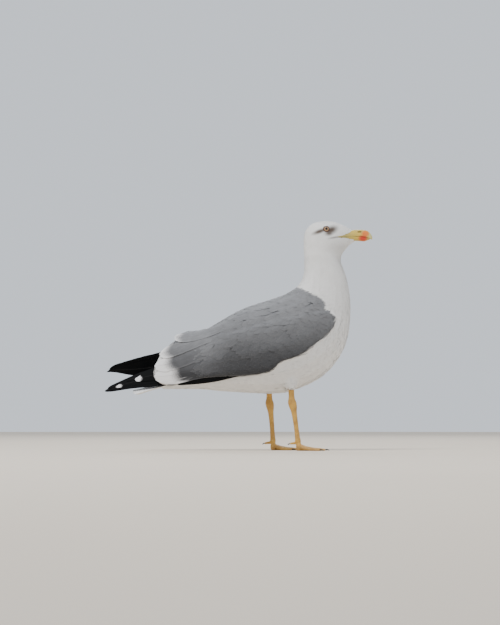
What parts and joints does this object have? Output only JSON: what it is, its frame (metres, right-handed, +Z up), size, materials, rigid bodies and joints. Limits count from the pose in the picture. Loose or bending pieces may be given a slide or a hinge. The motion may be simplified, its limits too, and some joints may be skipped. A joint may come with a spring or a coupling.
{
  "type": "yellow-legged gull, still life-size model",
  "caption": "Adult gull standing alert in profile: white body, grey folded wings, black wing tips, yellow bill and webbed feet.",
  "frame": {"origin": "on the floor under the middle of the bird's bounding box", "axes": "+X the way the bird faces, +Y its left side, +Z up"},
  "size_m": [0.4816, 0.1412, 0.4131],
  "materials": {
    "plumage_white": "soft white body feathers, matt, closely overlapping",
    "plumage_on_flesh": "soft white feathers of breast, neck and head, over skin and flesh",
    "mantle_grey": "smooth mid-grey wing and back feathers with near-white tips on secondaries and tertials",
    "wingtip_black": "black flight feathers with small white spots at the tips",
    "leg_yellow": "scaly yellow-ochre skin of legs, toes and webs",
    "bill_yellow": "satin yellow horn with a red spot near the tip and a paler tip",
    "claw_black": "dark horn claws",
    "eye_amber": "wet eye with a pale yellowish iris and a black pupil"
  },
  "bodies": {
    "root": {"bill_lower": "bill_yellow", "bill_upper": "bill_yellow", "breast": "plumage_on_flesh", "claw_left_hind": "claw_black", "claw_left_inner": "claw_black", "claw_left_middle": "claw_black", "claw_left_outer": "claw_black", "claw_right_hind": "claw_black", "claw_right_inner": "claw_black", "claw_right_middle": "claw_black", "claw_right_outer": "claw_black", "eye_left": "eye_amber", "eye_right": "eye_amber", "foot_left": "leg_yellow", "foot_right": "leg_yellow", "hallux_left": "leg_yellow", "hallux_right": "leg_yellow", "head": "plumage_on_flesh", "mantle": "mantle_grey", "neck": "plumage_on_flesh", "primaries_left": "wingtip_black", "primaries_right": "wingtip_black", "tail": "plumage_white", "tarsus_left": "leg_yellow", "tarsus_right": "leg_yellow", "thigh_left": "plumage_white", "thigh_right": "plumage_white", "tibia_left": "leg_yellow", "tibia_right": "leg_yellow", "trunk": "plumage_white", "wing_left": "mantle_grey", "wing_right": "mantle_grey"}
  },
  "joints": []
}
